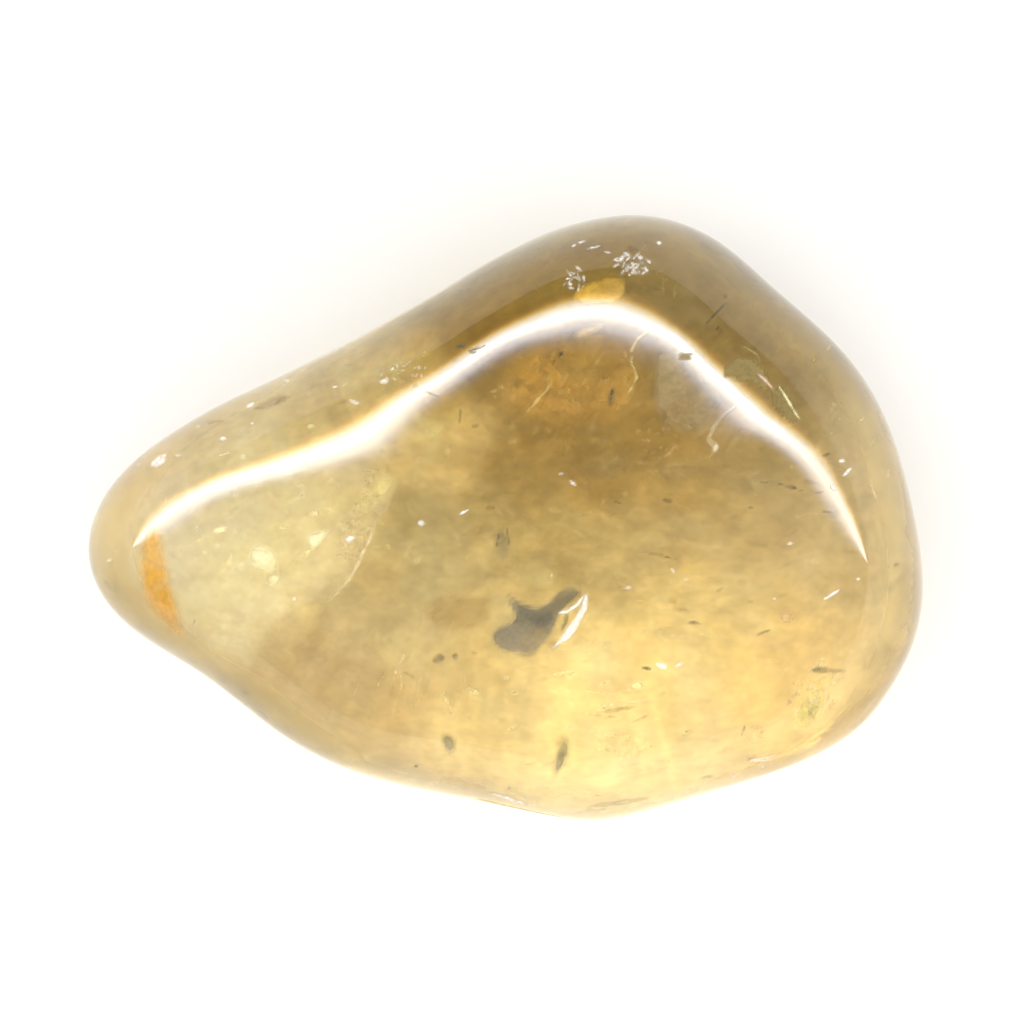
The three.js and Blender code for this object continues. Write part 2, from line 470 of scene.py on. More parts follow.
# Colour, centre, radii, turn and how soft the edge is.
ZONES_WITH_PAINTED_LIGHT = [
    ((0.57, 0.485, 0.405), (-4.9, -6.2, 6), (6.4, 2.9, COLUMN), -28, 1.2),
    ((0.75, 0.71, 0.66), (-2.7, -3.0, 6), (2.8, 2.2, COLUMN), 20, 1.2),
    ((0.55, 0.47, 0.33), (13.2, -1.8, 6), (2.6, 6.0, COLUMN), -10, 1.3),
    ((0.78, 0.715, 0.66), (9.0, -0.8, 6), (4.8, 2.8, COLUMN), -10, 1.2),
    ((0.61, 0.51, 0.35), (2.4, 3.0, 6), (5.6, 2.4, COLUMN), -6, 1.1),
    ((1.08, 0.98, 0.86), (-1.9, 2.7, 6), (1.9, 1.5, COLUMN), 25, 1.3),
    # Painted shade: the darker band above the bright line, along the top.
    ((0.425, 0.33, 0.06), (1.3, 9.0, 6), (6.3, 2.6, COLUMN), 22, 0.9),
    ((0.30, 0.23, 0.08), (8.9, 8.0, 6), (5.7, 3.2, COLUMN), -42, 0.9),
    ((1.07, 1.02, 0.92), (-9.5, -1.2, 6), (5.5, 2.9, COLUMN), 27, 0.8),
    ((1.0, 0.97, 1.08), (-13.8, 0.3, 6), (2.2, 3.4, COLUMN), 0, 1.2),
    ((0.91, 0.79, 0.54), (0.1, -8.9, 6), (2.8, 1.8, COLUMN), 0, 1.0),
    # Painted glow: clearer where lamp light gathers at the lower right.
    ((0.98, 0.92, 0.83), (6.2, -7.0, 6), (7.7, 4.5, COLUMN), 12, 0.9),
    ((0.87, 0.735, 0.575), (10.9, -6.3, 6), (3.7, 3.0, COLUMN), 20, 1.2),
]
TINT_LEVEL = 0.955  # evens the zones out with the brightness of the room
ZONE_WANDER = 1.3  # how far the zones' edges wander
# How much the clouds and the mottling change the tint, their size, stretch and turn.
SHADES = ((0.12, 2.6, (1.8, 1, 1), 25), (0.16, 0.7, (1.6, 1, 1), 20))
HUE_SHIFT = (0.02, -0.01, -0.09)  # how the mottled hue moves red, green and blue
HUE_SIZE = 1.4
DRIFT_SIZE = 3.0
DRIFT_START, SHADES_START, HUE_START = 10.0, 50.0, 90.0  # where in the noise each one begins


def zone_share(points, centre, radii, turn, edge):
    """1 inside an ellipsoid and 0 outside it. The edge is the share of its radius that it fades over."""
    offset = points - centre
    heading = math.radians(turn)
    along = offset[:, 0] * math.cos(heading) + offset[:, 1] * math.sin(heading)
    across = offset[:, 1] * math.cos(heading) - offset[:, 0] * math.sin(heading)
    far = np.linalg.norm(np.column_stack([along, across, offset[:, 2]]) / radii, axis=1)
    return 1 - soft_step((far - 1 + edge / 2) / edge)[:, None]


def tint_with_painted_light(points):
    """The crystal's colour at each point of its skin, with the painted shade and painted glow of some zones.
    """
    drift = np.column_stack([fractal(points, DRIFT_SIZE, octaves=3, shift=DRIFT_START * k) for k in range(3)])
    moved = points + ZONE_WANDER * drift
    tint = np.tile(np.array(SMOKE), (len(points), 1))
    for colour, *zone in ZONES_WITH_PAINTED_LIGHT:
        share = zone_share(moved, *zone)
        tint = tint * (1 - share) + np.array(colour) * share
    for shift, (depth, size, stretch, turn) in enumerate(SHADES):
        shade = fractal(points, size, stretch, turn, octaves=5, shift=SHADES_START + shift)
        tint *= 1 + depth * shade[:, None]
    tint *= 1 + np.array(HUE_SHIFT) * fractal(points, HUE_SIZE, octaves=4, shift=HUE_START)[:, None]
    return np.clip(tint * TINT_LEVEL, 0, 1)


# The stone's glass.
POLISH = 0.05
HAZE = 0.3  # how far light spreads as it leaves through the far side, which stands for the haze inside
SWALLOWS = (1.0, 0.93, 0.62)  # what is left of red, green and blue after a length of 1 / SWALLOW_DENSITY
SWALLOW_DENSITY = 85.0  # per metre
GRAIN_SPAN = (0.3, 0.7)  # the part of the noise that the grain takes up
STONE_GRAIN, SHEET_GRAIN = (0.91, 1.08), (0.88, 1.06)  # how much the grain darkens and lightens
FLOOR_WHITE = 0.97


def citrine_material():
    """Clear polished quartz in its own tint."""
    graph = Graph(bpy.data.materials.new("citrine"), "ShaderNodeOutputMaterial")
    tint = graph.node("ShaderNodeAttribute", attribute_name="tint").outputs["Color"]
    grain = graph.noise(graph.place(), 0.35, rough=0.7, stretch=(1.5, 1, 1), turn=20)
    inside = graph.node("ShaderNodeNewGeometry").outputs["Backfacing"]
    glass = graph.node("ShaderNodeBsdfPrincipled", {
        "Base Color": graph.times(tint, graph.ramp(grain, *GRAIN_SPAN, *STONE_GRAIN)),
        "Roughness": graph.ramp(inside, 0, 1, POLISH, HAZE),
        "IOR": QUARTZ_IOR,
        "Transmission Weight": 1.0,
    })
    depth = graph.node("ShaderNodeVolumeAbsorption", {
        "Color": rgba(SWALLOWS),
        "Density": SWALLOW_DENSITY,
    })
    return graph.finish(Surface=glass.outputs["BSDF"], Volume=depth.outputs["Volume"])


def floor_material():
    """Plain matt white."""
    graph = Graph(bpy.data.materials.new("floor"), "ShaderNodeOutputMaterial")
    surface = graph.node("ShaderNodeBsdfPrincipled", {
        "Base Color": rgba((FLOOR_WHITE, FLOOR_WHITE, FLOOR_WHITE)),
        "Roughness": 1.0,
        "Specular IOR Level": 0.0,
    })
    return graph.finish(Surface=surface.outputs["BSDF"])


def sheet_material(name, grain_size):
    """Clouds of tiny bubbles and cracks: the sheet's tone with a fine grain, clear where its cover ends."""
    graph = Graph(bpy.data.materials.new(name), "ShaderNodeOutputMaterial")
    tone = graph.node("ShaderNodeAttribute", attribute_name="tone").outputs["Color"]
    grain = graph.noise(graph.place(), grain_size, rough=0.6)
    surface = graph.node("ShaderNodeBsdfPrincipled", {
        "Base Color": graph.times(tone, graph.ramp(grain, *GRAIN_SPAN, *SHEET_GRAIN)),
        "Roughness": 0.9,
        "Specular IOR Level": 0.0,
        "Alpha": graph.node("ShaderNodeAttribute", attribute_name="cover").outputs["Fac"],
    })
    return graph.finish(Surface=surface.outputs["BSDF"])


# The stone.
skin = np.zeros(len(STONE_MESH.vertices) * 3)
STONE_MESH.vertices.foreach_get("co", skin)
paint(STONE_MESH, "tint", tint_with_painted_light(skin.reshape(-1, 3) / MM))
stone = add_piece("polished_stone", STONE_MESH, citrine_material())
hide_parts("citrine_stone")

# Tones of what lies inside. The quartz above a sheet tints it.
MILK = (1.0, 0.95, 0.88)
BUTTER = (1.0, 0.95, 0.55)
STRAW = (0.95, 0.8, 0.42)
HONEY = (0.72, 0.5, 0.16)
AMBER = (0.85, 0.48, 0.1)
BARK = (0.4, 0.26, 0.1)
ASH = (0.4, 0.39, 0.32)
SLATE = (0.12, 0.13, 0.11)
SUN = (1.0, 0.98, 0.68)
PEACH = (1.0, 0.79, 0.42)
OLIVE = (0.42, 0.36, 0.16)
LILAC = (0.56, 0.54, 0.5)
FROST = (0.98, 0.94, 0.9)
ROSE = (0.9, 0.72, 0.62)
ON_SKIN = -0.003  # the share of the depth for a mark on the polished skin


# Painted shade at the rim, in even steps of azimuth from +X: red, green, blue, cover and width.
PAINTED_RIM_SHADE = np.array([
    (0.58, 0.41, 0.04, 0.75, 1.5), (0.6, 0.45, 0.05, 0.58, 1.1), (0.48, 0.37, 0.04, 0.65, 1.1),
    (0.36, 0.29, 0.03, 0.76, 1.8), (0.36, 0.28, 0.03, 0.74, 1.8), (0.37, 0.32, 0.04, 0.78, 1.3),
    (0.34, 0.29, 0.05, 0.92, 1.4), (0.34, 0.28, 0.04, 0.92, 1.5), (0.38, 0.31, 0.05, 0.75, 1.3),
    (0.4, 0.34, 0.07, 0.32, 0.9), (0.45, 0.38, 0.1, 0.25, 0.9), (0.52, 0.46, 0.26, 0.38, 1.2),
    (0.62, 0.55, 0.38, 0.32, 1.3), (0.6, 0.53, 0.32, 0.2, 0.9), (0.42, 0.33, 0.05, 0.62, 1.5),
    (0.46, 0.34, 0.04, 0.68, 1.5), (0.52, 0.37, 0.05, 0.76, 1.9), (0.56, 0.39, 0.05, 0.76, 1.9),
    (0.72, 0.52, 0.06, 0.6, 1.4), (0.85, 0.61, 0.05, 0.56, 1.5), (0.8, 0.54, 0.04, 0.66, 1.4),
    (0.66, 0.42, 0.04, 0.8, 1.5), (0.6, 0.39, 0.04, 0.84, 1.9), (0.6, 0.42, 0.04, 0.72, 1.6),
])
RIM_GAP = 0.03  # the shading begins this far inside the outline
RIM_DEPTH = 0.06
RIM_CUTS = np.array([14, 900])  # across and round the shaded band
RIM_CROWDING = 1.7  # how much closer the cuts are at the rim
RIM_BROKEN, RIM_SEED = 0.25, 10


def paint_rim_shade(veils_and_painted_light):
    """A band of painted shade all the way round inside the outline, whole at the rim and fading inwards."""
    azimuth = np.repeat(np.linspace(0, TURN, RIM_CUTS[1] + 1), RIM_CUTS[0] + 1)
    across = np.tile(np.linspace(0, 1, RIM_CUTS[0] + 1) ** RIM_CROWDING, RIM_CUTS[1] + 1)
    *tone, cover, width = (around(column, azimuth) for column in PAINTED_RIM_SHADE.T)
    ray = np.stack([np.cos(azimuth), np.sin(azimuth)], axis=1)
    spots = HUB - MIDDLE + ray * (rim_reach(azimuth) - RIM_GAP - across * width)[:, None]
    points = seen_at(spots, np.full(len(spots), RIM_DEPTH))
    full = 1 - soft_step(across)
    cover = cover * full * veils_and_painted_light.patches(points, RIM_BROKEN, RIM_SEED)
    veils_and_painted_light.gather(points, full, RIM_CUTS, np.stack(tone, axis=1), cover)


# The top of the dark leaf-shaped crack.
CRACK_TOP = [
    (-0.16, -2.5), (0.41, -2.96), (1.02, -3.14), (1.49, -3), (1.67, -2.68), (2.14, -2.32), (2.75, -2.46),
]
# Clouds and other soft areas, a painted glow among them: corners, tone, cover, share of the depth, how soft
# the edge is, how broken the area is, and seed. Some go on with how it leans, how it crumples and how it
# fades to one side.
VEILS_AND_PAINTED_GLOW = [
    # The pale veil across the left, which ends at a crisp edge, and the brighter cloud inside it.
    ([
        (-3.62, 1.61), (-4.09, 0.28), (-4.56, -0.19), (-4.95, -0.98), (-5.24, -1.52), (-5.64, -2.32),
        (-6.43, -3.07), (-7.22, -3.14), (-8.16, -3.72), (-8.44, -4.33), (-8.77, -4.84), (-10.32, -4.8),
        (-12.08, -3.86), (-13.16, -1.52), (-12.08, -0.08), (-9.2, 0.64), (-5.96, 2.26),
    ], MILK, 0.4, 0.45, 0.12, 0.35, 11, (0.02, -0.03), 0.02, (0.06, -0.02)),
    ([
        (-5.74, 0.2), (-6.1, -0.19), (-6.5, -0.8), (-7.04, -1.38), (-7.83, -1.85), (-8.05, -2.46),
        (-8.91, -2.6), (-9.38, -3.61), (-9.85, -4.4), (-10.32, -4.8), (-11.36, -4.4), (-12.26, -2.96),
        (-12.8, -1.16), (-11, -0.44), (-8.48, -0.08),
    ], BUTTER, 0.42, 0.42, 0.3, 0.5, 12, (0.02, -0.03), 0.02, (0.08, 0.02)),
    ([
        (-7.4, 0.46), (-3.98, 2.08), (-3.37, 1.43), (-4.3, 0.2), (-5.6, -0.08), (-7.04, -0.37),
    ], BUTTER, 0.35, 0.4, 0.5, 0.5, 13),
    # Bright flakes in it.
    ([
        (-9.24, -1.09), (-8.77, -0.8), (-8.12, -1.09), (-7.9, -1.6), (-8.05, -2.17), (-8.55, -2.03),
        (-9.13, -1.74),
    ], SUN, 1.0, 0.1, 0.4, 0.35, 14),
    ([
        (-8.62, -1.96), (-7.98, -1.74), (-7.83, -2.24), (-8.12, -2.6), (-8.55, -2.46),
    ], SUN, 0.9, 0.1, 0.3, 0.4, 15),
    ([
        (-7.08, -0.44), (-6.39, -0.37), (-6.03, -0.23), (-6.32, -0.8), (-6.68, -1.24), (-7.08, -1.02),
    ], SUN, 1.0, 0.08, 0.3, 0.35, 16),
    ([
        (-4.59, 1.43), (-4.02, 1.5), (-3.94, 0.85), (-4.38, 0.56), (-4.66, 0.92),
    ], BUTTER, 0.6, 0.3, 0.4, 0.4, 17),
    # The iron stain at the left tip.
    ([
        (-13.05, -0.08), (-12.15, -0.01), (-11.94, -1.27), (-11.79, -2.06), (-11.58, -2.86), (-11.4, -3.47),
        (-11.22, -4.58), (-11.86, -4.4), (-12.58, -3.68), (-13.09, -2.96), (-13.2, -2.06), (-13.16, -1.16),
    ], (0.8, 0.43, 0.05), 0.95, 0.12, 0.5, 0.25, 18, (0, 0), 0.005),
    # The amber cloud below the bright line, the lilac one beside it and the haze under both.
    ([
        (-0.2, 5.96), (1.96, 6.76), (3.83, 6.76), (5.02, 6.22), (5.09, 4.96), (4.98, 3.7), (4.12, 3.08),
        (1.96, 2.94), (0.34, 3.34), (-0.63, 4.42),
    ], (0.88, 0.58, 0.2), 0.42, 0.3, 0.8, 0.45, 19, (0.02, 0.04)),
    ([
        (5.16, 6.36), (6.75, 5.82), (7.5, 4.96), (8.15, 4.09), (7.43, 3.48), (6.96, 2.69), (5.96, 2.94),
        (5.02, 3.48), (5.09, 5.21),
    ], LILAC, 0.6, 0.25, 0.45, 0.3, 20, (0.02, 0.03)),
    ([
        (1.96, 2.36), (4.84, 2.58), (7, 2.08), (10.24, 1.72), (10.6, 0.92), (7.72, 0.71), (4.84, 1.07),
        (2.32, 1.28),
    ], ASH, 0.3, 0.4, 0.6, 0.9, 21),
    # Painted glow at the lower right and by the lower rim, where lamp light gathers, and the rounded flake of
    # ripples there.
    ([
        (2.43, -7.21), (4.12, -6.56), (5.96, -7.36), (6.64, -8.18), (5.74, -9.01), (4.12, -9.3),
        (2.86, -9.16), (2.32, -8.18),
    ], SUN, 0.5, 0.35, 1.1, 0.4, 22, (0, 0), 0.01),
    ([(3.83, -8.44), (4.7, -8.29), (4.98, -8.8), (4.55, -9.23), (3.9, -9.01)], SUN, 0.6, 0.2, 0.5, 0.5, 23),
    ([
        (-1.28, -9.3), (1.96, -9.08), (4.84, -9.8), (3.4, -10.45), (1.24, -10.38), (-0.56, -9.88),
    ], BUTTER, 0.35, 0.4, 0.5, 0.5, 24),
    # The brown smudge, and the dark leaf-shaped crack with its bright rim.
    ([
        (-3.15, -2.82), (-2, -2.53), (-0.49, -2.6), (-0.34, -3.18), (-0.63, -4.19), (-1.82, -4.26),
        (-3.08, -3.97),
    ], BARK, 0.6, 0.4, 0.5, 0.4, 25),
    (CRACK_TOP + [
        (2.68, -2.86), (2.18, -3.22), (1.85, -3.61), (1.82, -3.94), (1.49, -4.44), (1.02, -5.02),
        (0.41, -4.91), (-0.45, -4.69), (-0.63, -4.19), (-0.38, -3.83), (0.41, -3.58), (0.09, -3.07),
    ], (0.29, 0.28, 0.26), 0.88, 0.2, 0.2, 0.25, 26, (0.02, 0.04), 0.005),
    (CRACK_TOP + [
        (2.61, -2.86), (2.1, -3.18), (1.82, -3.61), (1.42, -4.04), (0.81, -3.83), (0.52, -3.4), (0.09, -3.07),
    ], (0.14, 0.18, 0.2), 0.46, 0.18, 0.16, 0.35, 27, (0.02, 0.04), 0.005),
    ([
        (-0.42, -0.44), (-0.13, -0.23), (0.23, -0.52), (0.3, -1.24), (0.02, -1.74), (-0.34, -1.6),
        (-0.49, -1.02),
    ], (0.15, 0.15, 0.15), 0.85, 0.25, 0.25, 0.5, 28),
    ([
        (-0.06, -1.52), (0.7, -1.31), (1.82, -1.52), (2.03, -2.17), (1.42, -2.68), (0.52, -2.53),
        (0.02, -2.17),
    ], BUTTER, 0.25, 0.3, 0.3, 0.5, 29),
    # The blocky pale flake above the bright line, and its foot below.
    ([
        (2.28, 7.94), (3.04, 8.38), (4.12, 8.59), (4.3, 8.27), (4.12, 7.58), (3.33, 7.55), (2.43, 7.55),
    ], PEACH, 0.95, 0.03, 0.08, 0.2, 30),
    ([
        (2.32, 6.68), (3.76, 6.97), (3.54, 6.68), (3.11, 6.5), (2.75, 6.22), (2.32, 6.32),
    ], PEACH, 0.85, 0.06, 0.15, 0.3, 31),
    # Dark spots and grey smudges.
    ([
        (0.05, 5.17), (0.45, 5.35), (0.77, 4.88), (0.59, 4.34), (0.16, 4.27),
    ], (0.16, 0.13, 0.06), 0.55, 0.1, 0.25, 0.6, 41),
    ([
        (3.51, 4.67), (3.8, 4.74), (3.9, 4.16), (3.72, 3.77), (3.47, 4.09),
    ], (0.16, 0.15, 0.07), 0.4, 0.1, 0.2, 0.6, 42),
    ([
        (-2.36, -7.57), (-1.78, -7.64), (-1.64, -8.22), (-1.93, -8.58), (-2.32, -8.15),
    ], (0.29, 0.29, 0.24), 0.9, 0.3, 0.25, 0.3, 32),
    ([
        (1.82, -7.72), (2.39, -7.64), (2.46, -8.36), (1.96, -9.26), (1.56, -9.37), (1.64, -8.44),
    ], (0.31, 0.29, 0.2), 0.9, 0.3, 0.3, 0.3, 33),
]
# Patches, given in the same way.
PATCHES = [
    # An orange patch.
    ([
        (-0.85, -5.41), (-0.2, -5.2), (0.59, -5.41), (0.45, -5.99), (-0.27, -6.2), (-0.78, -5.92),
    ], AMBER, 0.3, 0.35, 0.3, 0.6, 35),
    # Chips in the polish that break the bright line: a notch, a leaf-shaped one and a small flake.
    ([
        (7.47, 5.06), (8.12, 5.75), (8.76, 5.64), (9.23, 5.17), (9.38, 4.42), (9.05, 4.6), (8.58, 4.81),
        (7.97, 4.88),
    ], (0.29, 0.22, 0.09), 0.94, ON_SKIN, 0.07, 0.1, 35, (0, 0), 0),
    ([
        (9.34, 4.49), (9.66, 4.74), (10.02, 4.16), (10.38, 3.34), (10.2, 3.23), (9.74, 3.59), (9.38, 3.95),
    ], (0.26, 0.2, 0.08), 0.92, ON_SKIN, 0.08, 0.15, 36, (0, 0), 0),
    ([
        (5.99, 5.78), (6.5, 5.93), (6.75, 5.75), (6.5, 5.5), (6.14, 5.53),
    ], (0.33, 0.26, 0.13), 0.85, ON_SKIN, 0.08, 0.5, 37, (0, 0), 0),
    # Yellow flakes near the lower right rim.
    ([
        (11, -5.56), (11.5, -5.7), (11.39, -6.2), (11.54, -6.56), (11.18, -7.18), (10.64, -7.61),
        (10.13, -7.39), (10.17, -6.82), (10.56, -6.28), (10.67, -5.84),
    ], (1.0, 1.0, 0.36), 0.85, 0.1, 0.35, 0.7, 38, (0.03, 0.03)),
    ([(9.84, -6.53), (10.24, -6.28), (10.1, -6.78)], MILK, 0.9, 0.15, 0.1, 0.2, 39),
    ([
        (8.51, -7.36), (9.02, -7.14), (9.45, -7.57), (9.3, -8.15), (8.73, -8.29), (8.44, -7.86),
    ], BUTTER, 0.4, 0.3, 0.25, 0.6, 40),
]
# Olive shading near the lower right rim: where each stroke is, and its half width.
OLIVE_SHADES = [(13.19, -4.94, 0.5), (12.44, -6.64, 0.6), (11.64, -7.57, 0.35), (14.06, -2.17, 0.25)]
OLIVE_REACH = 0.3


def lay_veils_and_painted_light():
    """The painted shade at the rim, the broad soft clouds with a painted glow among them, the olive shades
    and the patches.
    """
    veils_and_painted_light = Sheets(cell=0.13, wisp=(1.5, (1.7, 1, 1.2), 28))
    paint_rim_shade(veils_and_painted_light)
    for veil in VEILS_AND_PAINTED_GLOW:
        veils_and_painted_light.lay(*veil)
    for seed, (x, y, wide) in enumerate(OLIVE_SHADES):
        path = [(x - OLIVE_REACH, y - OLIVE_REACH), (x + OLIVE_REACH, y + OLIVE_REACH)]
        veils_and_painted_light.stroke(path, OLIVE, 0.45, 0.3, wide, 0.4, seed, edge=wide, taper=False)
    for patch in PATCHES:
        veils_and_painted_light.lay(*patch)
    veils_and_painted_light.build("veils_and_painted_light", sheet_material("veil", 0.16))


